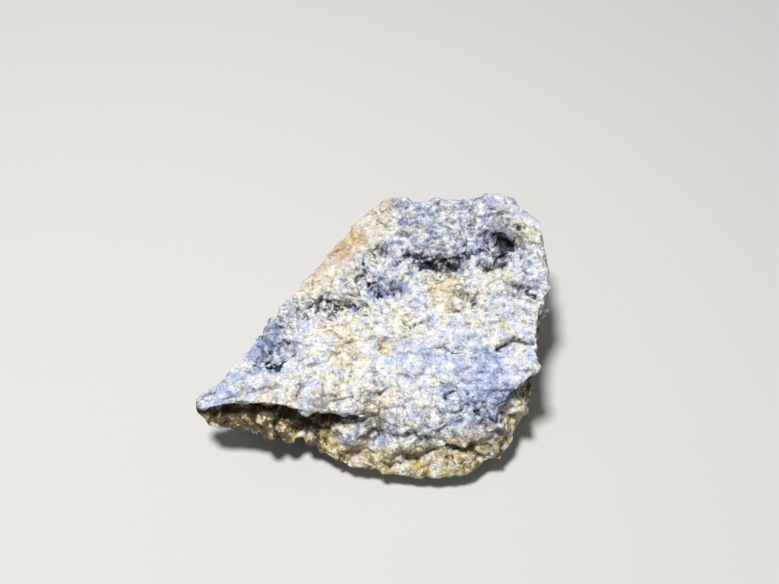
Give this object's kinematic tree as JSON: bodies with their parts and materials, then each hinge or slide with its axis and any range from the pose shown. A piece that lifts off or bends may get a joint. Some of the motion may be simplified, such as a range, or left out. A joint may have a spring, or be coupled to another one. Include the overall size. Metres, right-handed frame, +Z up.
{
  "type": "rough dumortierite stone",
  "caption": "Rough broken piece of blue and cream dumortierite in quartz: a wedge-shaped slab with a stepped, grainy top and an overhanging tip, to lie on a shelf.",
  "frame": {"origin": "on the surface that the stone rests on, under the middle of its outline", "axes": "+Z up, away from the surface that it rests on; +X along its longest side, away from the overhanging tip; +Y from the low front edge to the high back edge"},
  "size_m": [0.0432, 0.0359, 0.0151],
  "materials": {
    "dumortierite_quartz": "rough, granular, unpolished; blue-grey and cream grains with ochre staining on the lower ledges"
  },
  "bodies": {
    "root": {"stone": "dumortierite_quartz"}
  },
  "joints": []
}
